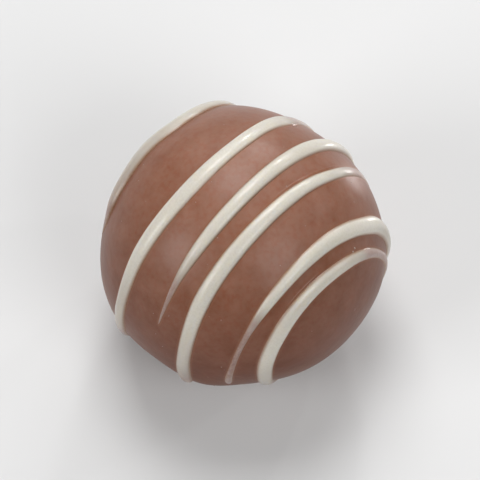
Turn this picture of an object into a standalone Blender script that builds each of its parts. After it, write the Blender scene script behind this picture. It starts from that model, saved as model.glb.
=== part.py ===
"""Milk chocolate truffle with a white chocolate drizzle, standing on its small flat foot.

The truffle stands on Z = 0 with +Z up, and the middle of its foot is the origin. The drizzle runs
along Y, in lines that follow one another along X. A place on the coat is given by its offset
across the truffle, in millimetres along X, and by its angle over the top, in degrees: 0 at the
top, positive down the front (-Y) and negative down the back (+Y).
"""

import math

import bmesh
import bpy
from mathutils import Vector

MM = 0.001

# The coated ball, and the flat foot that its own weight pressed into it before the coat set
BALL_RADIUS = 14.5 * MM
FOOT_DEPTH = 12.8 * MM
FOOT_ROUNDING = 1.6 * MM
BALL_SEGMENTS = 60
BALL_RINGS = 30
FOOT_RINGS = 4

# Swells and dents of the hand-rolled ball: height (mm), spread (degrees), offset (mm), angle (degrees)
SWELLS = (
    (-0.7, 19, -2.6, -66),
    (0.4, 14, 11.9, -101),
    (0.35, 20, -4.4, 102),
    (-0.6, 24, 6.7, 123),
    (0.75, 11, 5.7, 119),
    (-0.4, 19, -12.6, 75),
)

# The lines of the drizzle, from -X to +X, each from its end at the back to its end at the front:
# the offset of its middle, its width and its height, each a row of (angle, millimetres)
DRIZZLE = {
    "first": {
        "offset": (
            (-118, -10.3), (-60, -10.6), (-12, -10.66), (14, -11.2), (40, -10.86), (64, -10.3), (79, -10.3),
        ),
        "width": ((-118, 0.3), (-108, 1.6), (-50, 2.3), (22, 2.36), (60, 1.25), (79, 0.2)),
        "height": ((45, 0.62), (72, 0.35)),
    },
    "second": {
        "offset": ((-110, -3.0), (-35, -3.1), (-8, -2.95), (22, -3.08), (50, -3.3), (80, -3.05), (114, -3.3)),
        "width": (
            (-110, 0.3), (-101, 1.5), (-58, 1.8), (-42, 2.05), (-25, 1.76), (25, 1.9), (52, 1.8), (76, 1.5),
            (95, 1.62), (108, 1.45), (114, 0.4),
        ),
        "height": ((-60, 0.3), (-20, 0.42), (88, 0.42), (108, 0.46)),
    },
    "third": {
        "offset": ((-106, 1.9), (-35, 1.55), (15, 1.72), (45, 1.76), (60, 1.88), (73, 1.9)),
        "width": (
            (-106, 0.3), (-96, 1.7), (-48, 1.8), (-20, 1.68), (15, 1.58), (30, 1.4), (40, 1.16), (48, 0.84),
            (56, 0.6), (64, 0.38), (73, 0.15),
        ),
        "height": ((-50, 0.55), (-20, 0.45)),
    },
    "fourth": {
        "offset": ((-112, 5.2), (-40, 5.1), (-15, 4.8), (20, 4.75), (45, 4.8), (80, 5.13), (118, 4.55)),
        "width": (
            (-112, 0.3), (-102, 1.3), (-42, 1.2), (-5, 1.57), (48, 1.78), (66, 1.62), (88, 1.52), (104, 1.62),
            (112, 1.5), (118, 0.4),
        ),
        "height": ((-75, 0.15), (-20, 0.42), (92, 0.42), (110, 0.47)),
    },
    "fifth": {
        "offset": (
            (-120, 9.8), (-90, 10.1), (-60, 10.02), (-45, 10.06), (-12, 9.8), (35, 9.75), (84, 9.48),
            (112, 8.75),
        ),
        "width": (
            (-120, 0.3), (-108, 1.6), (-62, 1.95), (-40, 1.84), (-20, 1.86), (26, 1.42), (42, 1.1),
            (56, 0.68), (80, 0.52), (94, 0.64), (104, 0.8), (112, 0.5),
        ),
        "height": ((-85, 0.6), (-20, 0.42)),
    },
    "sixth": {
        "offset": (
            (-132, 11.1), (-70, 11.8), (-20, 11.85), (20, 11.72), (80, 11.74), (110, 11.52), (148, 10.4),
        ),
        "width": (
            (-132, 0.3), (-120, 1.2), (-72, 0.9), (-46, 1.15), (-12, 1.54), (40, 1.84), (60, 1.82),
            (95, 1.66), (138, 1.4), (148, 0.4),
        ),
        "height": ((0, 0.38),),
    },
}

# A bead stands at its full height from this width up, and lower in proportion where it is thinner
FULL_WIDTH = 1.5 * MM

# How deep a bead's keel sits in the coat, the angle between its sections and the points in each
BEAD_SINK = 0.45 * MM
BEAD_STEP = 4.0
BEAD_SIDES = 10

# A contact line sharper than this stays a crease in the shading
CREASE_ANGLE = math.radians(40)

MILK_CHOCOLATE = {"name": "milk chocolate", "colour": (0.195, 0.082, 0.047), "roughness": 0.38}
WHITE_CHOCOLATE = {"name": "white chocolate", "colour": (0.69, 0.62, 0.51), "roughness": 0.30}


def make_material(look):
    """A Principled material of one colour and roughness."""
    material = bpy.data.materials.new(look["name"])
    material.use_nodes = True
    shader = material.node_tree.nodes["Principled BSDF"]
    shader.inputs["Base Color"].default_value = (*look["colour"], 1.0)
    shader.inputs["Roughness"].default_value = look["roughness"]
    shader.inputs["Metallic"].default_value = 0.0
    return material


def add_object(name, bm, material):
    """A smooth-shaded object from a finished bmesh."""
    mesh = bpy.data.meshes.new(name)
    bmesh.ops.recalc_face_normals(bm, faces=bm.faces)
    bm.to_mesh(mesh)
    bm.free()
    mesh.shade_smooth()
    mesh.materials.append(material)
    return bpy.data.objects.new(name, mesh)


def direction(offset, angle):
    """Unit vector from the ball's middle to a place on the coat."""
    across = offset * MM / BALL_RADIUS
    round_x = math.sqrt(1.0 - across * across)
    over = math.radians(angle)
    return Vector((across, -round_x * math.sin(over), round_x * math.cos(over)))


def coat_radius(towards):
    """Distance from the ball's middle to the coat, with the swells and dents added."""
    radius = BALL_RADIUS
    for height, spread, offset, angle in SWELLS:
        apart = math.degrees(towards.angle(direction(offset, angle)))
        radius += height * MM * math.exp(-0.5 * (apart / spread) ** 2)
    return radius


def coat_point(offset, angle):
    """Point of the coat, above the middle of the foot."""
    towards = direction(offset, angle)
    return towards * coat_radius(towards) + Vector((0.0, 0.0, FOOT_DEPTH))


def ball_profile():
    """Radius and height of each ring of the ball, down its side, round the foot's edge to the flat."""
    edge_middle_depth = FOOT_DEPTH - FOOT_ROUNDING
    edge_middle_radius = math.sqrt((BALL_RADIUS - FOOT_ROUNDING) ** 2 - edge_middle_depth ** 2)
    side_end = math.atan2(edge_middle_radius, -edge_middle_depth)
    profile = []
    for ring in range(1, BALL_RINGS + 1):
        down = side_end * ring / BALL_RINGS
        profile.append((BALL_RADIUS * math.sin(down), BALL_RADIUS * math.cos(down)))
    for ring in range(1, FOOT_RINGS + 1):
        down = side_end + (math.pi - side_end) * ring / FOOT_RINGS
        out = edge_middle_radius + FOOT_ROUNDING * math.sin(down)
        profile.append((out, FOOT_ROUNDING * math.cos(down) - edge_middle_depth))
    return profile


def ball_ring(bm, radius, height):
    """One level ring of points, each moved out or in by the swells that it lies in."""
    ring = []
    for segment in range(BALL_SEGMENTS):
        turn = math.tau * segment / BALL_SEGMENTS
        point = Vector((radius * math.cos(turn), radius * math.sin(turn), height))
        point *= coat_radius(point.normalized()) / BALL_RADIUS
        ring.append(bm.verts.new(point + Vector((0.0, 0.0, FOOT_DEPTH))))
    return ring


def bridge(bm, ring, other):
    """Quads between two closed rings with the same number of points."""
    count = len(ring)
    for i in range(count):
        j = (i + 1) % count
        bm.faces.new((ring[i], ring[j], other[j], other[i]))


def make_ball(material):
    """The coated ball: rings from the top down, closed by a point at the top and the flat foot."""
    bm = bmesh.new()
    top = bm.verts.new(coat_point(0.0, 0.0))
    rings = [ball_ring(bm, radius, height) for radius, height in ball_profile()]
    for i, point in enumerate(rings[0]):
        bm.faces.new((top, point, rings[0][(i + 1) % BALL_SEGMENTS]))
    for upper, lower in zip(rings, rings[1:]):
        bridge(bm, upper, lower)
    for point in rings[-1]:
        point.co.z = 0.0
    bm.faces.new(rings[-1])
    return add_object("truffle", bm, material)


def eased(stations, angle):
    """Value at an angle, easing in and out of each station without overshooting."""
    if angle <= stations[0][0]:
        return stations[0][1]
    for (start, low), (end, high) in zip(stations, stations[1:]):
        if angle <= end:
            share = (angle - start) / (end - start)
            return low + (high - low) * share * share * (3.0 - 2.0 * share)
    return stations[-1][1]


def curved(stations, angle):
    """Value at an angle on the smooth curve that passes through every station."""
    i = 0
    while i < len(stations) - 2 and angle > stations[i + 1][0]:
        i += 1
    slopes = []
    for k in (i, i + 1):
        before = stations[max(k - 1, 0)]
        after = stations[min(k + 1, len(stations) - 1)]
        slopes.append((after[1] - before[1]) / (after[0] - before[0]))
    (start, low), (end, high) = stations[i], stations[i + 1]
    span = end - start
    t = (angle - start) / span
    keep_low = 2 * t ** 3 - 3 * t ** 2 + 1
    leave_low = (t ** 3 - 2 * t ** 2 + t) * span
    reach_high = (t ** 3 - t ** 2) * span
    return keep_low * low + (1 - keep_low) * high + leave_low * slopes[0] + reach_high * slopes[1]


def bead_ring(bm, line, angle):
    """Closed section across a bead: a rounded crest above the coat, and a keel sunk into it."""
    here = coat_point(curved(line["offset"], angle), angle)
    ahead = coat_point(curved(line["offset"], angle + BEAD_STEP / 2), angle + BEAD_STEP / 2)
    outward = (here - Vector((0.0, 0.0, FOOT_DEPTH))).normalized()
    sideways = (ahead - here).cross(outward).normalized()
    width = eased(line["width"], angle) * MM
    rise = eased(line["height"], angle) * MM * min(1.0, width / FULL_WIDTH)
    ring = []
    for side in range(BEAD_SIDES):
        turn = math.tau * side / BEAD_SIDES
        lift = math.sin(turn)
        lift *= rise if lift > 0 else BEAD_SINK
        ring.append(bm.verts.new(here + sideways * width / 2 * math.cos(turn) + outward * lift))
    return ring


def make_bead(name, line, material):
    """One line of the drizzle as a closed bead, thinning out at both of its ends."""
    bm = bmesh.new()
    start = line["offset"][0][0]
    end = line["offset"][-1][0]
    steps = round((end - start) / BEAD_STEP)
    rings = [bead_ring(bm, line, start + (end - start) * step / steps) for step in range(steps + 1)]
    for ring, following in zip(rings, rings[1:]):
        bridge(bm, ring, following)
    bm.faces.new(rings[0])
    bm.faces.new(rings[-1])
    return add_object(name, bm, material)


def fuse(body, beads):
    """One union of the body with all the beads, whose own objects then go."""
    lines = bpy.data.collections.new("drizzle lines")
    bpy.context.scene.collection.children.link(lines)
    for bead in beads:
        lines.objects.link(bead)
    union = body.modifiers.new("fuse drizzle", "BOOLEAN")
    union.operation = "UNION"
    union.solver = "EXACT"
    union.operand_type = "COLLECTION"
    union.collection = lines
    union.material_mode = "TRANSFER"
    fused = bpy.data.meshes.new_from_object(body.evaluated_get(bpy.context.evaluated_depsgraph_get()))
    body.modifiers.remove(union)
    body.data = fused
    for bead in beads:
        bpy.data.objects.remove(bead)
    bpy.data.collections.remove(lines)


def make_truffle():
    """The coated ball and its drizzle as one solid."""
    truffle = make_ball(make_material(MILK_CHOCOLATE))
    bpy.context.scene.collection.objects.link(truffle)
    white = make_material(WHITE_CHOCOLATE)
    beads = [make_bead(f"{name}_line", line, white) for name, line in DRIZZLE.items()]
    fuse(truffle, beads)
    truffle.data.name = "truffle"
    truffle.data.set_sharp_from_angle(angle=CREASE_ANGLE)
    return truffle


for left_over in list(bpy.data.objects):
    bpy.data.objects.remove(left_over)
make_truffle()
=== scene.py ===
"""Milk chocolate truffle with a white chocolate drizzle: its finished surfaces, on a pale floor.

A place on the coat is given as in the solid model: by its offset across the truffle, in
millimetres along X, and by its angle over the top, in degrees, 0 at the top, positive down the
front (-Y) and negative down the back (+Y). The truffle's tables give lengths in millimetres, and
all others are in metres.
"""

import math

import bpy
import numpy as np
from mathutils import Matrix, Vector


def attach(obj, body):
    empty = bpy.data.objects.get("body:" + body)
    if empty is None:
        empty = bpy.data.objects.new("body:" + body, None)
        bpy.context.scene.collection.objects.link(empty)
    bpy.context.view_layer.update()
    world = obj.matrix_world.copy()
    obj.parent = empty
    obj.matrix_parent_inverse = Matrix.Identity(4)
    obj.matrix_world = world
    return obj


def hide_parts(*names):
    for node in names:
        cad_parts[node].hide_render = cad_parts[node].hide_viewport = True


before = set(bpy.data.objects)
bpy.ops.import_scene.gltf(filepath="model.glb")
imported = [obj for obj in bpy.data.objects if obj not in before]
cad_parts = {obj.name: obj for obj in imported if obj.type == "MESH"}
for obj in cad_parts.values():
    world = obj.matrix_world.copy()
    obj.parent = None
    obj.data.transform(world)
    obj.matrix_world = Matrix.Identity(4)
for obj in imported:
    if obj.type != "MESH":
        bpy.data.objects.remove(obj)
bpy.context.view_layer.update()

MM = 0.001

# The coated ball, the flat foot that its own weight pressed into it before the coat set, and how
# softly the foot's edge runs into the ball
BALL_RADIUS = 14.5 * MM
FOOT_DEPTH = 12.8 * MM
FOOT_EDGE = 0.22 * MM
BALL_MIDDLE = Vector((0.0, 0.0, FOOT_DEPTH))

# Way round the coat from its middle plane to the pole at either side
QUARTER = math.pi / 2 * BALL_RADIUS

# How far the coat stays within the solid's surface, so that the piece keeps inside the solid's box
COAT_INSET = 0.012 * MM

# Swells and dents of the hand-rolled ball: height (mm), spread (degrees), and the offset (mm) and
# angle (degrees) of their middle
SWELLS = (
    (-0.7, 19, -2.6, -66),
    (0.4, 14, 11.9, -101),
    (0.35, 20, -4.4, 102),
    (-0.6, 24, 6.7, 123),
    (0.75, 11, 5.7, 119),
    (-0.4, 19, -12.6, 75),
)

# The lines of the drizzle, from -X to +X, each from its end at the back to its end at the front:
# the offset of its middle, its width and its height, each a row of (angle, millimetres)
DRIZZLE = {
    "first": {
        "offset": (
            (-118, -10.3), (-60, -10.6), (-12, -10.66), (14, -11.2), (40, -10.86), (64, -10.3),
            (79, -10.3),
        ),
        "width": (
            (-118, 1.2), (-106, 1.7), (-58, 2.5), (-30, 2.3), (22, 2.36), (60, 1.25), (79, 0.2),
        ),
        "height": ((45, 0.62), (72, 0.35)),
    },
    "second": {
        "offset": (
            (-110, -3.0), (-35, -3.1), (-8, -2.95), (22, -3.08), (50, -3.3), (80, -3.05),
            (114, -3.3),
        ),
        "width": (
            (-110, 1.2), (-100, 1.5), (-58, 1.8), (-42, 2.05), (-25, 1.76), (25, 1.9), (52, 1.8),
            (76, 1.5), (95, 1.62), (106, 1.5), (114, 1.2),
        ),
        "height": ((-60, 0.3), (-20, 0.42), (88, 0.42), (108, 0.46)),
    },
    "third": {
        "offset": ((-106, 1.9), (-35, 1.55), (15, 1.72), (45, 1.76), (60, 1.88), (73, 1.9)),
        "width": (
            (-106, 1.2), (-96, 1.7), (-48, 1.8), (-20, 1.68), (15, 1.58), (30, 1.4), (40, 1.16),
            (48, 0.84), (56, 0.6), (64, 0.38), (73, 0.15),
        ),
        "height": ((-50, 0.55), (-20, 0.45)),
    },
    "fourth": {
        "offset": (
            (-112, 5.2), (-40, 5.1), (-15, 4.8), (20, 4.75), (45, 4.8), (80, 5.13), (118, 4.55),
        ),
        "width": (
            (-112, 1.0), (-102, 1.3), (-42, 1.2), (-5, 1.57), (48, 1.78), (66, 1.62), (88, 1.52),
            (104, 1.62), (118, 1.2),
        ),
        "height": ((-75, 0.15), (-20, 0.42), (92, 0.42), (110, 0.47)),
    },
    "fifth": {
        "offset": (
            (-120, 9.8), (-90, 10.1), (-60, 10.02), (-45, 10.06), (-12, 9.8), (35, 9.75),
            (84, 9.48), (112, 8.75),
        ),
        "width": (
            (-120, 1.2), (-108, 1.6), (-62, 1.95), (-40, 1.84), (-20, 1.86), (26, 1.42),
            (42, 1.1), (56, 0.7), (80, 0.56), (94, 0.66), (104, 0.8), (112, 0.7),
        ),
        "height": ((-85, 0.6), (-20, 0.42)),
    },
    "sixth": {
        "offset": (
            (-132, 11.1), (-70, 11.8), (-20, 11.85), (20, 11.72), (80, 11.74), (110, 11.52),
            (148, 10.4),
        ),
        "width": (
            (-132, 0.8), (-120, 1.1), (-72, 0.9), (-46, 1.15), (-12, 1.54), (40, 1.84),
            (60, 1.82), (95, 1.66), (136, 1.4), (148, 1.1),
        ),
        "height": ((0, 0.38),),
    },
}

# A bead stands at its full height from this width up, and lower in proportion where it is thinner
FULL_WIDTH = 1.5 * MM

# Over how many degrees a bead rounds off at each of its ends
TIP_LENGTH = 4.0

# How thick the cream lies in each line, by angle: 1 hides the coat, and a thin film lets it show
CREAM = {
    "first": (
        (-118, 0.5), (-100, 0.75), (-50, 0.8), (-20, 0.86), (6, 0.76), (44, 0.64), (62, 0.5),
        (79, 0.35),
    ),
    "second": (
        (-110, 0.5), (-95, 0.85), (-70, 0.65), (-47, 0.55), (-38, 0.85), (-28, 1.0), (50, 1.0),
        (80, 0.8), (112, 0.45),
    ),
    "third": (
        (-106, 0.5), (-90, 0.9), (-66, 0.75), (-54, 0.95), (30, 1.0), (42, 0.8), (52, 0.5),
        (64, 0.4), (73, 0.45),
    ),
    "fourth": (
        (-112, 0.5), (-95, 0.8), (-72, 0.6), (-60, 0.35), (-48, 0.6), (-38, 0.85), (-26, 1.0),
        (55, 1.0), (86, 0.82), (116, 0.5),
    ),
    "fifth": (
        (-120, 0.5), (-104, 0.85), (-72, 0.85), (-50, 1.0), (34, 1.0), (50, 0.55), (62, 0.42),
        (80, 0.3), (94, 0.36), (108, 0.48),
    ),
    "sixth": (
        (-132, 0.4), (-112, 0.6), (-80, 0.4), (-50, 0.45), (-26, 0.8), (-10, 0.95), (70, 1.0),
        (98, 0.85), (148, 0.4),
    ),
}

# Over how much of its width, in millimetres, a line's edge thins out to nothing, and the most of
# its half width that this may take
EDGE_FADE = {
    "first": 0.3, "second": 0.26, "third": 0.28, "fourth": 0.28, "fifth": 0.3, "sixth": 0.3,
}
THIN_FADE = 0.4

# Where the coat rises in a fine rim beside a line, on its -X side: how strongly, by angle
RIMS = {
    "fourth": ((-46, 0.0), (-36, 1.0), (-10, 1.0), (0, 0.0)),
    "sixth": ((-14, 0.0), (-4, 1.0), (28, 1.0), (38, 0.0)),
}

# Drops beside the drizzle: offset (mm), angle (degrees), radius (mm), how thick their cream is,
# and how much of the radius is sunk into the coat. The first five are pale specks, and the last
# two are thin drops beside the second line, near its end at the back.
DROPS = (
    (-10.0, -24.6, 0.14, 0.6, 0.3),
    (9.35, -32.2, 0.14, 0.5, 0.3),
    (11.25, -30.8, 0.11, 0.6, 0.3),
    (11.4, -28.5, 0.1, 0.6, 0.3),
    (9.73, 45.5, 0.18, 0.8, 0.5),
    (-1.9, -42.0, 0.2, 0.35, 0.6),
    (-1.75, -44.0, 0.16, 0.35, 0.6),
)

# Fine specks strewn about: how many, their smallest and largest radius (mm), their cream and sunk
# share as above, how many radii they stay off a line, and the lowest that they lie, as a share of
# the ball's radius above its middle
STREWN_SPECKS = 110
STREWN_SIZES = (0.03, 0.07)
STREWN_CREAM = 0.45
STREWN_SUNK = 0.35
STREWN_CLEARANCE = 2
STREWN_LOWEST = -0.75
STREWN_SEED = 6

# The coat's own points: steps round it, and rows from -X to +X that crowd along the drizzle
COAT_STEPS = 320
ROWS_BESIDE_BEAD = 10
ROWS_UNDER_BEAD = 4
ROW_SPACING = 0.32 * MM
BESIDE_BEAD = 0.55 * MM
UNDER_BEAD = 0.3 * MM

# The least room that rows leave between two beads, and the most of it that the rows beside one
# bead take
LEAST_ROOM = 0.1 * MM
ROOM_SHARE = 0.45

# Points of a bead, along it, round each of its tips and round its section
BEAD_STEP = 0.24 * MM
TIP_POINTS = 8
SECTION_POINTS = 32

# The least that a direction counts as pointing down. Those that point up would meet the foot's
# plane behind them, and so they meet it far out of reach instead.
LEAST_FALL = 0.001

# A noise texture's own middle, which is taken off where a pattern goes both ways
NOISE_MIDDLE = 0.5

# The photograph's camera: where it stands, how far off (m), how large the ball shows in its frame,
# and the nearest and farthest that it sees (m)
FRAME_PIXELS = 480
BALL_PIXELS = 142.0
BALL_MIDDLE_PIXEL = (241.1, 245.4)
CAMERA_AZIMUTH = 44.3
CAMERA_ELEVATION = 61.9
CAMERA_DISTANCE = 0.36
CAMERA_REACH = (0.01, 10.0)
SENSOR_WIDTH = 36.0


def add_node(tree, kind, inputs=None, **settings):
    """A node with its settings. An input is a value, a socket, or a node for its first output."""
    node = tree.nodes.new(kind)
    for name, value in settings.items():
        setattr(node, name, value)
    named = {socket.name: socket for socket in reversed(node.inputs)}
    named.update({socket.identifier: socket for socket in node.inputs})
    for key, value in (inputs or {}).items():
        socket = node.inputs[key] if isinstance(key, int) else named[key]
        if isinstance(value, bpy.types.Node):
            value = next(output for output in value.outputs if output.enabled)
        if isinstance(value, bpy.types.NodeSocket):
            tree.links.new(value, socket)
        else:
            socket.default_value = value
    return node


def linear(hex_code):
    """Linear red, green, blue and alpha of an sRGB hex colour."""
    channels = [int(hex_code[i:i + 2], 16) / 255 for i in (1, 3, 5)]
    return (
        *[c / 12.92 if c <= 0.04045 else ((c + 0.055) / 1.055) ** 2.4 for c in channels], 1.0
    )


def between(stations, angle):
    """The station before each angle, the one after it, and how far the angle is to that one."""
    angles = [station[0] for station in stations]
    place = np.interp(angle, angles, np.arange(len(stations)))
    low = np.floor(place).astype(int)
    return low, np.minimum(low + 1, len(stations) - 1), place - low


def eased(stations, angle):
    """Values at these angles, easing in and out of each station without overshooting."""
    values = np.array([station[1] for station in stations], float)
    low, high, share = between(stations, angle)
    return values[low] + (values[high] - values[low]) * share ** 2 * (3 - 2 * share)


def curved(stations, angle):
    """Values at these angles on the smooth curve that passes through every station."""
    angles, values = np.array(stations, float).T
    low, high, t = between(stations, angle)
    last = len(stations) - 1
    before = np.maximum(np.arange(last + 1) - 1, 0)
    after = np.minimum(np.arange(last + 1) + 1, last)
    slopes = (values[after] - values[before]) / (angles[after] - angles[before])
    span = angles[high] - angles[low]
    keep_low = 2 * t ** 3 - 3 * t ** 2 + 1
    leave_low = (t ** 3 - 2 * t ** 2 + t) * span
    reach_high = (t ** 3 - t ** 2) * span
    return (
        keep_low * values[low] + (1 - keep_low) * values[high]
        + leave_low * slopes[low] + reach_high * slopes[high]
    )


def direction(offset, angle):
    """Unit vectors from the ball's middle to places on the coat, with the offset in metres."""
    across = offset / BALL_RADIUS
    round_x = np.sqrt(1 - across ** 2)
    over = np.radians(angle)
    return np.stack((across, -round_x * np.sin(over), round_x * np.cos(over)), axis=-1)


def bead_middle(line, angle):
    """Way round the coat from its middle plane to the middle of a bead."""
    return BALL_RADIUS * np.arcsin(curved(line["offset"], angle) * MM / BALL_RADIUS)


def bead_half_width(line, angle):
    """Half the width of a bead, which rounds off at its ends, and nothing beyond them."""
    to_end = np.minimum(angle - line["width"][0][0], line["width"][-1][0] - angle)
    tip = np.clip(to_end / TIP_LENGTH, 0, 1)
    return curved(line["width"], angle) * MM / 2 * np.sqrt(tip * (2 - tip))


def add_mesh(name, points, faces=(), edges=(), attributes=None):
    """A mesh from its points and its faces or edges, with named numbers for each point."""
    mesh = bpy.data.meshes.new(name)
    mesh.from_pydata([tuple(point) for point in points], edges, faces)
    for label, values in (attributes or {}).items():
        attribute = mesh.attributes.new(label, "FLOAT", "POINT")
        attribute.data.foreach_set("value", np.asarray(values, np.float32))
    return mesh


def coat_bands(angle):
    """Bands of the coat at one angle, from pole to pole: start, end and, where set, their rows."""
    lines = list(DRIZZLE.values())
    middles = [float(bead_middle(line, angle)) for line in lines]
    halves = [max(float(bead_half_width(line, angle)), UNDER_BEAD) for line in lines]
    starts = [middle - half for middle, half in zip(middles, halves)] + [QUARTER]
    ends = [-QUARTER] + [middle + half for middle, half in zip(middles, halves)]
    for i in range(1, len(lines)):
        lacking = max(0.0, LEAST_ROOM - (starts[i] - ends[i]))
        ends[i] -= lacking / 2
        starts[i] += lacking / 2
    bands = []
    reached = -QUARTER
    for i in range(len(lines)):
        near = min(BESIDE_BEAD, (starts[i] - ends[i]) * ROOM_SHARE)
        far = min(BESIDE_BEAD, (starts[i + 1] - ends[i + 1]) * ROOM_SHARE)
        bands.append((reached, starts[i] - near, None))
        bands.append((starts[i] - near, starts[i], ROWS_BESIDE_BEAD))
        bands.append((starts[i], ends[i + 1], ROWS_UNDER_BEAD))
        bands.append((ends[i + 1], ends[i + 1] + far, ROWS_BESIDE_BEAD))
        reached = ends[i + 1] + far
    bands.append((reached, QUARTER, None))
    return bands


def beside_beads(way, angle):
    """Distance from each point to the nearest bead's edge, negative under it, and the rim there."""
    gap = np.full(way.shape, np.inf)
    rim = np.zeros(way.shape)
    for name, line in DRIZZLE.items():
        clipped = np.clip(angle, line["width"][0][0], line["width"][-1][0])
        middle = bead_middle(line, clipped)
        sideways = np.abs(way - middle) - bead_half_width(line, clipped)
        along = np.radians(np.abs(angle - clipped)) * BALL_RADIUS * np.cos(way / BALL_RADIUS)
        distance = np.where(along > 0, np.hypot(np.maximum(sideways, 0), along), sideways)
        if name in RIMS:
            rim = np.where((distance < gap) & (way < middle), eased(RIMS[name], angle), rim)
        gap = np.minimum(gap, distance)
    return gap, rim


def make_coat_mesh():
    """The ball before its swells: rows along the beads, and what each point knows of them."""
    angles = np.arange(COAT_STEPS) * 360.0 / COAT_STEPS - 180.0
    rows = []
    for band in zip(*[coat_bands(angle) for angle in angles]):
        starts, ends, counts = zip(*band)
        starts = np.array(starts)
        widths = np.array(ends) - starts
        count = counts[0] or max(1, round(float(widths.max()) / ROW_SPACING))
        rows.extend(starts + widths * step / count for step in range(count))
    # the first row is the pole itself, which is added with the other pole as a single point
    ways = np.array(rows[1:])
    turned = np.broadcast_to(angles, ways.shape)
    points = direction(BALL_RADIUS * np.sin(ways / BALL_RADIUS), turned) * BALL_RADIUS
    poles = ((-BALL_RADIUS, 0, 0), (BALL_RADIUS, 0, 0))
    all_points = np.concatenate((points.reshape(-1, 3), poles)) + np.array(BALL_MIDDLE)
    faces = []
    last_row = (len(ways) - 1) * COAT_STEPS
    for here in range(0, last_row, COAT_STEPS):
        there = here + COAT_STEPS
        for step in range(COAT_STEPS):
            following = (step + 1) % COAT_STEPS
            faces.append((here + step, here + following, there + following, there + step))
    low_pole = last_row + COAT_STEPS
    for step in range(COAT_STEPS):
        following = (step + 1) % COAT_STEPS
        faces.append((low_pole, following, step))
        faces.append((low_pole + 1, last_row + step, last_row + following))
    gap, rim = beside_beads(
        np.append(ways.ravel(), (-QUARTER, QUARTER)), np.append(turned.ravel(), (0, 0))
    )
    return add_mesh("coat", all_points, faces, attributes={"gap": gap, "rim": rim})


def start_tree(name, sizes):
    """A geometry tree with a named input for each of its sizes, and the identifier of each."""
    kinds = {
        float: "Float", int: "Int", Vector: "Vector", bpy.types.Object: "Object",
        bpy.types.Material: "Material",
    }
    tree = bpy.data.node_groups.new(name, "GeometryNodeTree")
    for in_out in ("INPUT", "OUTPUT"):
        tree.interface.new_socket(
            name="Geometry", in_out=in_out, socket_type="NodeSocketGeometry"
        )
    keys = {}
    for label, value in sizes.items():
        socket = tree.interface.new_socket(
            name=label, in_out="INPUT", socket_type="NodeSocket" + kinds[type(value)]
        )
        keys[label] = socket.identifier
    return tree, tree.nodes.new("NodeGroupInput").outputs, keys


def end_tree(tree, geometry, material):
    """Realized instances and a material close every tree."""
    solid = add_node(tree, "GeometryNodeRealizeInstances", {"Geometry": geometry})
    smooth = add_node(tree, "GeometryNodeSetShadeSmooth", {"Geometry": solid})
    dressed = add_node(
        tree, "GeometryNodeSetMaterial", {"Geometry": smooth, "Material": material}
    )
    add_node(tree, "NodeGroupOutput", {"Geometry": dressed})


def grow(name, mesh, tree, keys, sizes):
    """A piece whose mesh is what the tree makes of a base mesh."""
    piece = bpy.data.objects.new(name, mesh)
    modifier = piece.modifiers.new(tree.name, "NODES")
    modifier.node_group = tree
    for label, value in sizes.items():
        modifier[keys[label]] = value
    bpy.context.scene.collection.objects.link(piece)
    evaluated = piece.evaluated_get(bpy.context.evaluated_depsgraph_get())
    grown = bpy.data.meshes.new_from_object(evaluated)
    piece.modifiers.remove(modifier)
    piece.data = grown
    grown.name = name
    return piece


# A rim is a fine ridge this high and this far from a line's edge. The ripples are the slow
# unevenness of a dipped coat.
COAT_SIZES = {
    "Ball Middle": BALL_MIDDLE,
    "Ball Radius": BALL_RADIUS - COAT_INSET,
    "Foot Depth": FOOT_DEPTH,
    "Foot Edge": FOOT_EDGE,
    "Rim Height": 0.035 * MM,
    "Rim Distance": 0.17 * MM,
    "Rim Width": 0.06 * MM,
    "Ripple Height": 0.05 * MM,
    "Ripple Length": 3.5 * MM,
    "Seed": 4.0,
}


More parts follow.
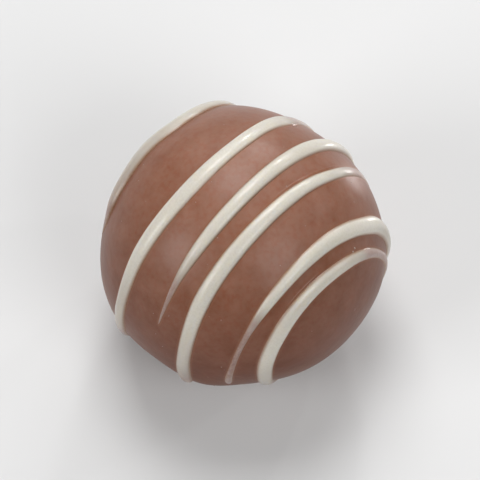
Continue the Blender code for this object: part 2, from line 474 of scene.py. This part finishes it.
def make_coat(material):
    """The coat: the ball pushed out by its swells, rimmed along the beads, flat at its foot."""
    sizes = dict(COAT_SIZES)
    for i, (height, spread, offset, angle) in enumerate(SWELLS, 1):
        sizes[f"Swell {i} Height"] = height * MM
        sizes[f"Swell {i} Spread"] = math.radians(spread)
        sizes[f"Swell {i} Towards"] = Vector(direction(np.array(offset * MM), angle))
    sizes["Material"] = material
    tree, given, keys = start_tree("chocolate coat", sizes)
    position = add_node(tree, "GeometryNodeInputPosition")
    from_middle = add_node(
        tree, "ShaderNodeVectorMath", {0: position, 1: given["Ball Middle"]},
        operation="SUBTRACT",
    )
    towards = add_node(tree, "ShaderNodeVectorMath", {0: from_middle}, operation="NORMALIZE")
    radius = given["Ball Radius"]
    # each swell or dent is a bell, its height times exp(-(apart / spread)^2 / 2)
    for i in range(1, len(SWELLS) + 1):
        cosine = add_node(
            tree, "ShaderNodeVectorMath", {0: towards, 1: given[f"Swell {i} Towards"]},
            operation="DOT_PRODUCT",
        ).outputs["Value"]
        apart = add_node(tree, "ShaderNodeMath", {0: cosine}, operation="ARCCOSINE")
        spreads = add_node(
            tree, "ShaderNodeMath", {0: apart, 1: given[f"Swell {i} Spread"]},
            operation="DIVIDE",
        )
        squared = add_node(tree, "ShaderNodeMath", {0: spreads, 1: spreads}, operation="MULTIPLY")
        halved = add_node(tree, "ShaderNodeMath", {0: squared, 1: -0.5}, operation="MULTIPLY")
        bell = add_node(tree, "ShaderNodeMath", {0: halved}, operation="EXPONENT")
        radius = add_node(
            tree, "ShaderNodeMath", {0: bell, 1: given[f"Swell {i} Height"], 2: radius},
            operation="MULTIPLY_ADD",
        )
    # so is the rim's section, its height times exp(-(off its crest / width)^2)
    gap = add_node(
        tree, "GeometryNodeInputNamedAttribute", {"Name": "gap"}, data_type="FLOAT"
    )
    rim = add_node(
        tree, "GeometryNodeInputNamedAttribute", {"Name": "rim"}, data_type="FLOAT"
    )
    off_rim = add_node(
        tree, "ShaderNodeMath", {0: gap, 1: given["Rim Distance"]}, operation="SUBTRACT"
    )
    rim_widths = add_node(
        tree, "ShaderNodeMath", {0: off_rim, 1: given["Rim Width"]}, operation="DIVIDE"
    )
    rim_squared = add_node(
        tree, "ShaderNodeMath", {0: rim_widths, 1: rim_widths}, operation="MULTIPLY"
    )
    rim_fall = add_node(tree, "ShaderNodeMath", {0: rim_squared, 1: -1.0}, operation="MULTIPLY")
    rim_bell = add_node(tree, "ShaderNodeMath", {0: rim_fall}, operation="EXPONENT")
    rim_here = add_node(tree, "ShaderNodeMath", {0: rim_bell, 1: rim}, operation="MULTIPLY")
    marked = add_node(
        tree, "GeometryNodeStoreNamedAttribute",
        {"Geometry": given["Geometry"], "Name": "ridge", "Value": rim_here}, data_type="FLOAT",
    )
    radius = add_node(
        tree, "ShaderNodeMath", {0: rim_here, 1: given["Rim Height"], 2: radius},
        operation="MULTIPLY_ADD",
    )
    ripple_count = add_node(
        tree, "ShaderNodeMath", {0: 1.0, 1: given["Ripple Length"]}, operation="DIVIDE"
    )
    ripple = add_node(
        tree, "ShaderNodeTexNoise",
        {"Vector": position, "W": given["Seed"], "Scale": ripple_count, "Detail": 1.0},
        noise_dimensions="4D",
    )
    centred = add_node(tree, "ShaderNodeMath", {0: ripple, 1: NOISE_MIDDLE}, operation="SUBTRACT")
    radius = add_node(
        tree, "ShaderNodeMath", {0: centred, 1: given["Ripple Height"], 2: radius},
        operation="MULTIPLY_ADD",
    )
    # a point under the foot's plane is drawn up to it, and the smooth minimum softens its edge
    axes = add_node(tree, "ShaderNodeSeparateXYZ", {"Vector": towards})
    downward = add_node(
        tree, "ShaderNodeMath", {0: axes.outputs["Z"], 1: -1.0}, operation="MULTIPLY"
    )
    fall = add_node(tree, "ShaderNodeMath", {0: downward, 1: LEAST_FALL}, operation="MAXIMUM")
    to_flat = add_node(
        tree, "ShaderNodeMath", {0: given["Foot Depth"], 1: fall}, operation="DIVIDE"
    )
    radius = add_node(
        tree, "ShaderNodeMath", {0: radius, 1: to_flat, 2: given["Foot Edge"]},
        operation="SMOOTH_MIN",
    )
    outward = add_node(
        tree, "ShaderNodeVectorMath", {0: towards, "Scale": radius}, operation="SCALE"
    )
    place = add_node(
        tree, "ShaderNodeVectorMath", {0: outward, 1: given["Ball Middle"]}, operation="ADD"
    )
    moved = add_node(tree, "GeometryNodeSetPosition", {"Geometry": marked, "Position": place})
    end_tree(tree, moved, given["Material"])
    return grow("milk_chocolate_coat", make_coat_mesh(), tree, keys, sizes)


def bead_angles(line):
    """Angles along a bead, in even steps but for its rounded tips, where they crowd to the end."""
    start = line["width"][0][0]
    end = line["width"][-1][0]
    turn = (np.arange(TIP_POINTS) + 0.5) / TIP_POINTS * math.pi / 2
    tip = TIP_LENGTH * (1 - np.cos(turn))
    steps = round(math.radians(end - start - 2 * TIP_LENGTH) * BALL_RADIUS / BEAD_STEP)
    body = np.linspace(start + TIP_LENGTH, end - TIP_LENGTH, steps + 1)
    return np.concatenate((start + tip, body, end - tip[::-1]))


def drops():
    """Direction, radius, cream and sunk share of the drops, then of the strewn specks."""
    for offset, angle, radius, cream, sunk in DROPS:
        yield direction(np.array(offset * MM), angle), radius * MM, cream, sunk
    random = np.random.default_rng(STREWN_SEED)
    left = STREWN_SPECKS
    while left:
        towards = random.normal(size=3)
        towards /= np.linalg.norm(towards)
        radius = random.uniform(*STREWN_SIZES) * MM
        way = BALL_RADIUS * math.asin(towards[0])
        angle = math.degrees(math.atan2(-towards[1], towards[2]))
        gap, _ = beside_beads(np.array([way]), np.array([angle]))
        if gap[0] > STREWN_CLEARANCE * radius and towards[2] > STREWN_LOWEST:
            left -= 1
            yield towards, radius, STREWN_CREAM, STREWN_SUNK


def make_path_mesh():
    """The middle of each bead as a chain of points on the ball, and the drops as lone points."""
    places = []
    edges = []
    values = {"half_width": [], "height": [], "cream": [], "fade": [], "drop": [], "sunk": []}
    for name, line in DRIZZLE.items():
        angle = bead_angles(line)
        half = bead_half_width(line, angle)
        edges.extend((len(places) + i, len(places) + i + 1) for i in range(len(angle) - 1))
        places.extend(direction(curved(line["offset"], angle) * MM, angle))
        of_bead = {
            "half_width": half,
            "height": eased(line["height"], angle) * MM * np.minimum(1.0, 2 * half / FULL_WIDTH),
            "cream": eased(CREAM[name], angle),
            "fade": np.minimum(EDGE_FADE[name] * MM, half * THIN_FADE),
        }
        for label in values:
            values[label].extend(of_bead.get(label, np.zeros(len(angle))))
    for place, radius, cream, sunk in drops():
        places.append(place)
        of_drop = {"cream": cream, "drop": radius, "sunk": sunk * radius}
        for label in values:
            values[label].append(of_drop.get(label, 0.0))
    points = np.array(places) * BALL_RADIUS + np.array(BALL_MIDDLE)
    return add_mesh("drizzle", points, edges=edges, attributes=values)


# Shoulder and Crown are powers that shape a bead's section: 2 and 0.5 make half an ellipse, and a
# higher Crown makes softer flanks. Sink is how deep the keel lies in the coat, and Edge Dip how
# far the bead's edge does. Wobble is the share by which a line's width is uneven.
DRIZZLE_SIZES = {
    "Ball Middle": BALL_MIDDLE,
    "Section Points": SECTION_POINTS,
    "Shoulder": 2.3,
    "Crown": 0.85,
    "Sink": 0.15 * MM,
    "Edge Dip": 0.012 * MM,
    "Drop Detail": 2,
    "Wobble": 0.05,
    "Wobble Length": 2.4 * MM,
    "Reach": 2 * BALL_RADIUS,
    "Seed": 11.0,
}


def make_drizzle(coat, material):
    """The beads: a round section swept along every path, then laid on the coat and shaped."""
    sizes = {**DRIZZLE_SIZES, "Coat": coat, "Material": material}
    tree, given, keys = start_tree("drizzle beads", sizes)
    chain = add_node(tree, "GeometryNodeMeshToCurve", {"Mesh": given["Geometry"]})
    position = add_node(tree, "GeometryNodeInputPosition")
    from_middle = add_node(
        tree, "ShaderNodeVectorMath", {0: position, 1: given["Ball Middle"]},
        operation="SUBTRACT",
    )
    tangent = add_node(tree, "GeometryNodeInputTangent")
    across = add_node(
        tree, "ShaderNodeVectorMath", {0: from_middle, 1: tangent}, operation="CROSS_PRODUCT"
    )
    sideways = add_node(tree, "ShaderNodeVectorMath", {0: across}, operation="NORMALIZE")
    for label, value in (("on_path", from_middle), ("sideways", sideways)):
        chain = add_node(
            tree, "GeometryNodeStoreNamedAttribute",
            {"Geometry": chain, "Name": label, "Value": value}, data_type="FLOAT_VECTOR",
        )
    circle = add_node(
        tree, "GeometryNodeCurvePrimitiveCircle",
        {"Resolution": given["Section Points"], "Radius": 1.0},
    )
    circle = add_node(
        tree, "GeometryNodeStoreNamedAttribute",
        {"Geometry": circle, "Name": "section", "Value": position}, data_type="FLOAT_VECTOR",
    )
    tube = add_node(
        tree, "GeometryNodeCurveToMesh",
        {"Curve": chain, "Profile Curve": circle, "Scale": MM, "Fill Caps": True},
    )
    read = {
        label: add_node(
            tree, "GeometryNodeInputNamedAttribute", {"Name": label}, data_type=data_type
        )
        for data_type, labels in (
            ("FLOAT_VECTOR", ("on_path", "sideways", "section")),
            ("FLOAT", ("half_width", "height", "fade", "cream", "drop", "sunk")),
        )
        for label in labels
    }
    section = add_node(tree, "ShaderNodeSeparateXYZ", {"Vector": read["section"]})
    wobble_count = add_node(
        tree, "ShaderNodeMath", {0: 1.0, 1: given["Wobble Length"]}, operation="DIVIDE"
    )
    wobble = add_node(
        tree, "ShaderNodeTexNoise",
        {"Vector": read["on_path"], "W": given["Seed"], "Scale": wobble_count, "Detail": 1.0},
        noise_dimensions="4D",
    )
    centred = add_node(tree, "ShaderNodeMath", {0: wobble, 1: NOISE_MIDDLE}, operation="SUBTRACT")
    uneven = add_node(
        tree, "ShaderNodeMath", {0: centred, 1: given["Wobble"], 2: 1.0},
        operation="MULTIPLY_ADD",
    )
    half = add_node(
        tree, "ShaderNodeMath", {0: read["half_width"], 1: uneven}, operation="MULTIPLY"
    )
    # each point of the tube goes to its side of the path, and a ray through it finds the coat
    aside = add_node(
        tree, "ShaderNodeMath", {0: section.outputs["X"], 1: half}, operation="MULTIPLY"
    )
    shift = add_node(
        tree, "ShaderNodeVectorMath", {0: read["sideways"], "Scale": aside}, operation="SCALE"
    )
    beside = add_node(
        tree, "ShaderNodeVectorMath", {0: read["on_path"], 1: shift}, operation="ADD"
    )
    towards = add_node(tree, "ShaderNodeVectorMath", {0: beside}, operation="NORMALIZE")
    coat_shape = add_node(tree, "GeometryNodeObjectInfo", {"Object": given["Coat"]})
    ray = {
        "Target Geometry": coat_shape.outputs["Geometry"],
        "Source Position": given["Ball Middle"],
        "Ray Length": given["Reach"],
    }
    landing = add_node(tree, "GeometryNodeRaycast", {**ray, "Ray Direction": towards})
    # its upper half then rises to the bead's crest, and its lower half sinks as a keel
    off_middle = add_node(
        tree, "ShaderNodeMath", {0: section.outputs["X"]}, operation="ABSOLUTE"
    )
    shoulder = add_node(
        tree, "ShaderNodeMath", {0: off_middle, 1: given["Shoulder"]}, operation="POWER"
    )
    inside = add_node(tree, "ShaderNodeMath", {0: 1.0, 1: shoulder}, operation="SUBTRACT")
    kept = add_node(tree, "ShaderNodeMath", {0: inside, 1: 0.0}, operation="MAXIMUM")
    crown = add_node(tree, "ShaderNodeMath", {0: kept, 1: given["Crown"]}, operation="POWER")
    crest = add_node(tree, "ShaderNodeMath", {0: crown, 1: read["height"]}, operation="MULTIPLY")
    keel = add_node(
        tree, "ShaderNodeMath", {0: section.outputs["Y"], 1: given["Sink"]},
        operation="MULTIPLY",
    )
    above = add_node(
        tree, "ShaderNodeMath", {0: section.outputs["Y"], 1: 0.0}, operation="GREATER_THAN"
    )
    lift = add_node(
        tree, "ShaderNodeMix", {"Factor": above, "A": keel, "B": crest}, data_type="FLOAT"
    )
    dipped = add_node(
        tree, "ShaderNodeMath", {0: lift, 1: given["Edge Dip"]}, operation="SUBTRACT"
    )
    radius = add_node(
        tree, "ShaderNodeMath", {0: landing.outputs["Hit Distance"], 1: dipped}, operation="ADD"
    )
    outward = add_node(
        tree, "ShaderNodeVectorMath", {0: towards, "Scale": radius}, operation="SCALE"
    )
    place = add_node(
        tree, "ShaderNodeVectorMath", {0: outward, 1: given["Ball Middle"]}, operation="ADD"
    )
    laid = add_node(tree, "GeometryNodeSetPosition", {"Geometry": tube, "Position": place})
    # how far each point is from thinning out, for the colour of the line's edge
    from_edge = add_node(tree, "ShaderNodeMath", {0: 1.0, 1: off_middle}, operation="SUBTRACT")
    edge_way = add_node(tree, "ShaderNodeMath", {0: from_edge, 1: half}, operation="MULTIPLY")
    edge = add_node(
        tree, "ShaderNodeMapRange", {"Value": edge_way, "From Min": 0.0, "From Max": read["fade"]},
        interpolation_type="SMOOTHSTEP",
    )
    coloured = add_node(
        tree, "GeometryNodeStoreNamedAttribute",
        {"Geometry": laid, "Name": "edge", "Value": edge}, data_type="FLOAT",
    )
    # a drop is a small ball on the coat, sunk into it
    drop_towards = add_node(
        tree, "ShaderNodeVectorMath", {0: from_middle}, operation="NORMALIZE"
    )
    drop_landing = add_node(tree, "GeometryNodeRaycast", {**ray, "Ray Direction": drop_towards})
    drop_radius = add_node(
        tree, "ShaderNodeMath", {0: drop_landing.outputs["Hit Distance"], 1: read["sunk"]},
        operation="SUBTRACT",
    )
    drop_way = add_node(
        tree, "ShaderNodeVectorMath", {0: drop_towards, "Scale": drop_radius}, operation="SCALE"
    )
    drop_place = add_node(
        tree, "ShaderNodeVectorMath", {0: drop_way, 1: given["Ball Middle"]}, operation="ADD"
    )
    is_drop = add_node(
        tree, "ShaderNodeMath", {0: read["drop"], 1: 0.0}, operation="GREATER_THAN"
    )
    scattered = add_node(
        tree, "GeometryNodeMeshToPoints",
        {"Mesh": given["Geometry"], "Selection": is_drop, "Position": drop_place},
    )
    pearl = add_node(
        tree, "GeometryNodeMeshIcoSphere", {"Radius": 1.0, "Subdivisions": given["Drop Detail"]}
    )
    pearls = add_node(
        tree, "GeometryNodeInstanceOnPoints",
        {"Points": scattered, "Instance": pearl, "Scale": read["drop"]},
    )
    for label, value in (("cream", read["cream"]), ("edge", 1.0)):
        pearls = add_node(
            tree, "GeometryNodeStoreNamedAttribute",
            {"Geometry": pearls, "Name": label, "Value": value}, data_type="FLOAT",
            domain="INSTANCE",
        )
    together = add_node(tree, "GeometryNodeJoinGeometry", {"Geometry": coloured})
    tree.links.new(pearls.outputs["Geometry"], together.inputs["Geometry"])
    end_tree(tree, together, given["Material"])
    return grow("white_chocolate_drizzle", make_path_mesh(), tree, keys, sizes)


def start_material(name):
    """A new material and its tree, still empty."""
    material = bpy.data.materials.new(name)
    material.use_nodes = True
    material.node_tree.nodes.clear()
    return material, material.node_tree


def end_material(tree, inputs):
    """The shader with its constants and what feeds it, and the output."""
    shader = add_node(tree, "ShaderNodeBsdfPrincipled", inputs)
    add_node(tree, "ShaderNodeOutputMaterial", {"Surface": shader})


# Both chocolates shine through their cocoa butter
COCOA_BUTTER_IOR = 1.46

# The browns of the coat from its lower side to its top, deeper below as painted shade and paler
# on top as painted sheen, what its flecks leave of them, and the brown beside the drizzle, a
# painted glow of light soaked through the cream's foot
LOW_BROWN_PAINTED_SHADE = "#6b3a20"
TOP_BROWN_PAINTED_SHEEN = "#8d6452"
FLECK_TINT = "#fde3d8"
GLOW_BROWN_PAINTED = "#90624a"

# The coat's patterns: how large they are, and how strongly they show. Flecks and grain start to
# show at their noise's first value, and show in full from its second.
# Painted sheen: the coat is palest this far above the ball's middle, and deepest, as painted shade,
# at the middle and below it
PAINTED_SHEEN_HEIGHT = 0.95 * BALL_RADIUS
CLOUD_SIZE = 2.4 * MM
CLOUD_STRENGTH = 1.1
FLECK_SIZE = 0.5 * MM
FLECK_NOISE = (0.45, 0.7)
FLECK_STRENGTH = 0.7
# How far from the drizzle, and how strongly, the painted glow shows
GLOW_REACH_PAINTED = 0.3 * MM
GLOW_STRENGTH_PAINTED = 0.55
COAT_ROUGHNESS = (0.28, 0.44)
RIM_SMOOTHNESS = 0.2
SKIN_SIZE = 1.3 * MM
SKIN_DEPTH = 0.03 * MM
COCOA_SIZE = 0.2 * MM
COCOA_SHARE = 0.2

# The drizzle from the thinnest film to full cream, the tan of its thin edge, and that of its grain
CREAMS = (
    (0.0, "#764e3d"), (0.3, "#8b6a5f"), (0.5, "#a28b83"), (0.7, "#b3aa9f"), (1.0, "#d2cdc2"),
)
EDGE_TAN = "#906a50"
GRAIN_TAN = "#b3a899"

# The drizzle's patterns, as the coat's
STREAK_SIZE = 0.7 * MM
STREAK_STRENGTH = 0.2
SUGAR_SIZE = 0.22 * MM
SUGAR_NOISE = (0.4, 0.7)
SUGAR_STRENGTH = 0.2
SUGAR_SHARE = 0.15
POUR_SIZE = 1.4 * MM
POUR_DEPTH = 0.01 * MM

FLOOR_GREY = "#d9d9d9"


def milk_chocolate():
    """Tempered milk chocolate, dipped: a satin brown, paler on top as painted sheen, deeper below
    as painted shade, and warmer by the drizzle as a painted glow.
    """
    material, tree = start_material("milk chocolate dipped")
    place = add_node(tree, "ShaderNodeTexCoord").outputs["Object"]
    # painted sheen and shade: the brown grows paler towards the top and stays deep low down
    height = add_node(tree, "ShaderNodeSeparateXYZ", {"Vector": place}).outputs["Z"]
    painted_sheen = add_node(
        tree, "ShaderNodeMapRange",
        {"Value": height, "From Min": FOOT_DEPTH, "From Max": FOOT_DEPTH + PAINTED_SHEEN_HEIGHT},
    )
    # cloudy patches a few millimetres across, as the coat cooled unevenly
    clouds = add_node(
        tree, "ShaderNodeTexNoise",
        {"Vector": place, "Scale": 1 / CLOUD_SIZE, "Detail": 6.0, "Roughness": 0.62},
    )
    patchy = add_node(tree, "ShaderNodeMath", {0: clouds, 1: NOISE_MIDDLE}, operation="SUBTRACT")
    clouds_and_painted_sheen = add_node(
        tree, "ShaderNodeMath", {0: patchy, 1: CLOUD_STRENGTH, 2: painted_sheen},
        operation="MULTIPLY_ADD",
    )
    brown = add_node(
        tree, "ShaderNodeMix",
        {"Factor": clouds_and_painted_sheen, "A_Color": linear(LOW_BROWN_PAINTED_SHADE), "B_Color": linear(TOP_BROWN_PAINTED_SHEEN)},
        data_type="RGBA", clamp_factor=False,
    )
    # reddish flecks of cocoa, whose own grains are too fine to show: these are drawn half a
    # millimetre across
    flecks = add_node(
        tree, "ShaderNodeTexNoise", {"Vector": place, "Scale": 1 / FLECK_SIZE, "Detail": 3.0}
    )
    flecked = add_node(
        tree, "ShaderNodeMapRange",
        {
            "Value": flecks, "From Min": FLECK_NOISE[0], "From Max": FLECK_NOISE[1],
            "To Max": FLECK_STRENGTH,
        },
    )
    brown = add_node(
        tree, "ShaderNodeMix",
        {"Factor": flecked, "A_Color": brown, "B_Color": linear(FLECK_TINT)},
        data_type="RGBA", blend_type="MULTIPLY",
    )
    # painted glow: a warmer, lighter brown beside the drizzle stands for light that soaks through
    # the cream's foot, and lifts the shade in the crease there
    gap = add_node(tree, "ShaderNodeAttribute", attribute_name="gap").outputs["Fac"]
    painted_glow = add_node(
        tree, "ShaderNodeMapRange",
        {"Value": gap, "From Max": GLOW_REACH_PAINTED, "To Min": GLOW_STRENGTH_PAINTED, "To Max": 0.0},
        interpolation_type="SMOOTHSTEP",
    )
    with_painted_glow = add_node(
        tree, "ShaderNodeMix",
        {"Factor": painted_glow, "A_Color": brown, "B_Color": linear(GLOW_BROWN_PAINTED)},
        data_type="RGBA",
    )
    # satin: the gloss is duller in some patches than in others, and brightest on the fine rims
    dullness = add_node(
        tree, "ShaderNodeMapRange",
        {"Value": clouds, "To Min": COAT_ROUGHNESS[0], "To Max": COAT_ROUGHNESS[1]},
    )
    ridge = add_node(tree, "ShaderNodeAttribute", attribute_name="ridge").outputs["Fac"]
    gloss = add_node(
        tree, "ShaderNodeMath", {0: ridge, 1: -RIM_SMOOTHNESS, 2: dullness},
        operation="MULTIPLY_ADD",
    )
    # the orange-peel skin of a dipped coat, and in it the cocoa's grain, drawn as coarse as the
    # render can show
    skin = add_node(
        tree, "ShaderNodeTexNoise", {"Vector": place, "Scale": 1 / SKIN_SIZE, "Detail": 1.0}
    )
    grain = add_node(
        tree, "ShaderNodeTexNoise", {"Vector": place, "Scale": 1 / COCOA_SIZE, "Detail": 2.0}
    )
    rough_skin = add_node(
        tree, "ShaderNodeMath", {0: grain, 1: COCOA_SHARE, 2: skin}, operation="MULTIPLY_ADD"
    )
    bump = add_node(tree, "ShaderNodeBump", {"Distance": SKIN_DEPTH, "Height": rough_skin})
    end_material(tree, {
        "Base Color": with_painted_glow, "Roughness": gloss, "Normal": bump,
        "IOR": COCOA_BUTTER_IOR, "Specular IOR Level": 0.3,
        "Subsurface Weight": 0.2, "Subsurface Radius": (1.0, 0.45, 0.25),
        "Subsurface Scale": 0.4 * MM,
    })
    return material


def white_chocolate():
    """White chocolate, piped: glossy cream, through which the brown shows where it is thin."""
    material, tree = start_material("white chocolate piped")
    place = add_node(tree, "ShaderNodeTexCoord").outputs["Object"]
    # a thin film is uneven, and full cream is not
    cream = add_node(tree, "ShaderNodeAttribute", attribute_name="cream").outputs["Fac"]
    streaks = add_node(
        tree, "ShaderNodeTexNoise", {"Vector": place, "Scale": 1 / STREAK_SIZE, "Detail": 2.0}
    )
    uneven = add_node(
        tree, "ShaderNodeMapRange",
        {"Value": streaks, "To Min": -STREAK_STRENGTH, "To Max": STREAK_STRENGTH},
    )
    thin = add_node(tree, "ShaderNodeMath", {0: 1.0, 1: cream}, operation="SUBTRACT")
    covered = add_node(
        tree, "ShaderNodeMath", {0: thin, 1: uneven, 2: cream}, operation="MULTIPLY_ADD",
        use_clamp=True,
    )
    film = add_node(tree, "ShaderNodeValToRGB", {"Fac": covered})
    stops = film.color_ramp.elements
    for position, _ in CREAMS[1:-1]:
        stops.new(position)
    for stop, (_, colour) in zip(stops, CREAMS):
        stop.color = linear(colour)
    # its thin edge takes the warm tan of the chocolate under it
    edge = add_node(tree, "ShaderNodeAttribute", attribute_name="edge").outputs["Fac"]
    colour = add_node(
        tree, "ShaderNodeMix", {"Factor": edge, "A_Color": linear(EDGE_TAN), "B_Color": film},
        data_type="RGBA",
    )
    # grain of the sugar and milk all over, too fine to show at its real size: it is drawn a fifth
    # of a millimetre across
    grain = add_node(
        tree, "ShaderNodeTexNoise", {"Vector": place, "Scale": 1 / SUGAR_SIZE, "Detail": 2.0}
    )
    grainy = add_node(
        tree, "ShaderNodeMapRange",
        {
            "Value": grain, "From Min": SUGAR_NOISE[0], "From Max": SUGAR_NOISE[1],
            "To Max": SUGAR_STRENGTH,
        },
    )
    colour = add_node(
        tree, "ShaderNodeMix",
        {"Factor": grainy, "A_Color": colour, "B_Color": linear(GRAIN_TAN)}, data_type="RGBA",
    )
    # soft unevenness of a poured line, with the grain in it
    ripple = add_node(
        tree, "ShaderNodeTexNoise", {"Vector": place, "Scale": 1 / POUR_SIZE, "Detail": 1.0}
    )
    skin = add_node(
        tree, "ShaderNodeMath", {0: grain, 1: SUGAR_SHARE, 2: ripple}, operation="MULTIPLY_ADD"
    )
    bump = add_node(tree, "ShaderNodeBump", {"Distance": POUR_DEPTH, "Height": skin})
    end_material(tree, {
        "Base Color": colour, "Roughness": 0.34, "Normal": bump,
        "IOR": COCOA_BUTTER_IOR, "Specular IOR Level": 0.25,
        "Coat Weight": 0.42, "Coat Roughness": 0.17, "Coat IOR": COCOA_BUTTER_IOR,
        "Subsurface Weight": 0.6, "Subsurface Radius": (1.0, 0.8, 0.5),
        "Subsurface Scale": 0.45 * MM,
    })
    return material


def pale_floor():
    """Matt pale card, plain."""
    material, tree = start_material("pale card matt")
    end_material(tree, {"Base Color": linear(FLOOR_GREY), "Roughness": 0.9})
    return material


def stand_round(name, data, azimuth, elevation, distance):
    """A camera or light turned to the ball's middle. Azimuth 0 is the front (-Y) and 90 is +X."""
    turn = math.radians(azimuth)
    rise = math.radians(elevation)
    back = Vector(
        (math.sin(turn) * math.cos(rise), -math.cos(turn) * math.cos(rise), math.sin(rise))
    )
    holder = bpy.data.objects.new(name, data)
    holder.location = BALL_MIDDLE + back * distance
    holder.rotation_euler = back.to_track_quat("Z", "Y").to_euler()
    bpy.context.scene.collection.objects.link(holder)
    return holder


def add_camera():
    """The photograph's camera, aimed at the ball's middle and shifted to its place in the frame."""
    ball_slope = math.tan(math.asin(BALL_RADIUS / CAMERA_DISTANCE))
    data = bpy.data.cameras.new("camera")
    data.sensor_width = SENSOR_WIDTH
    data.lens = SENSOR_WIDTH / FRAME_PIXELS * BALL_PIXELS / ball_slope
    data.shift_x = (FRAME_PIXELS / 2 - BALL_MIDDLE_PIXEL[0]) / FRAME_PIXELS
    data.shift_y = (BALL_MIDDLE_PIXEL[1] - FRAME_PIXELS / 2) / FRAME_PIXELS
    data.clip_start, data.clip_end = CAMERA_REACH
    bpy.context.scene.camera = stand_round(
        "camera", data, CAMERA_AZIMUTH, CAMERA_ELEVATION, CAMERA_DISTANCE
    )


# Lights round the truffle: azimuth and elevation (degrees), distance, width and height (m), spread
# (degrees), and brightness. Softboxes give the even light, small windows the gleams, and a low
# card with a grid the glints at the lines' far ends.
LIGHTS = {
    "key": (232, 64, 0.5, 0.24, 0.24, 180, 7.84),
    "back": (208, 31, 0.4, 0.14, 0.14, 180, 5.0),
    "window left": (213, 31, 0.4, 0.03, 0.014, 180, 115.0),
    "window middle": (186, 30, 0.4, 0.011, 0.014, 180, 159.0),
    "window right": (150, 26, 0.4, 0.011, 0.014, 180, 159.0),
    "low card": (174, -8, 0.042, 0.006, 0.004, 48, 4.5),
    "side": (242, 29, 0.4, 0.16, 0.16, 180, 1.7),
    "left low": (341, 31, 0.4, 0.2, 0.2, 180, 5.68),
    "right low": (84, 41, 0.4, 0.22, 0.22, 180, 4.32),
    "right": (125, 45, 0.4, 0.2, 0.2, 180, 0.68),
}
ROOM_WHITE = "#ffffff"
ROOM_BRIGHTNESS = 0.03


def add_lights():
    """Studio softboxes, and the dim white room round them."""
    for name, (azimuth, elevation, distance, width, height, spread, brightness) in LIGHTS.items():
        data = bpy.data.lights.new(name, "AREA")
        data.shape = "RECTANGLE"
        data.size = width
        data.size_y = height
        data.spread = math.radians(spread)
        data.energy = brightness * math.pi * width * height
        stand_round(name, data, azimuth, elevation, distance)
    world = bpy.data.worlds.new("pale room")
    world.use_nodes = True
    background = world.node_tree.nodes["Background"].inputs
    background["Color"].default_value = linear(ROOM_WHITE)
    background["Strength"].default_value = ROOM_BRIGHTNESS
    bpy.context.scene.world = world


# How far the floor goes from the truffle, in metres
FLOOR_REACH = 1.5


def add_floor():
    """The floor, a large plain card under the truffle's foot."""
    sides = ((-1, -1), (1, -1), (1, 1), (-1, 1))
    corners = [(x * FLOOR_REACH, y * FLOOR_REACH, 0) for x, y in sides]
    floor = bpy.data.objects.new("floor", add_mesh("floor", corners, [(0, 1, 2, 3)]))
    floor.data.materials.append(pale_floor())
    bpy.context.scene.collection.objects.link(floor)


add_camera()
coat = make_coat(milk_chocolate())
drizzle = make_drizzle(coat, white_chocolate())
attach(coat, "root")
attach(drizzle, "root")
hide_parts("truffle")
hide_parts("truffle")
add_floor()
add_lights()
bpy.context.scene.view_settings.view_transform = "Standard"
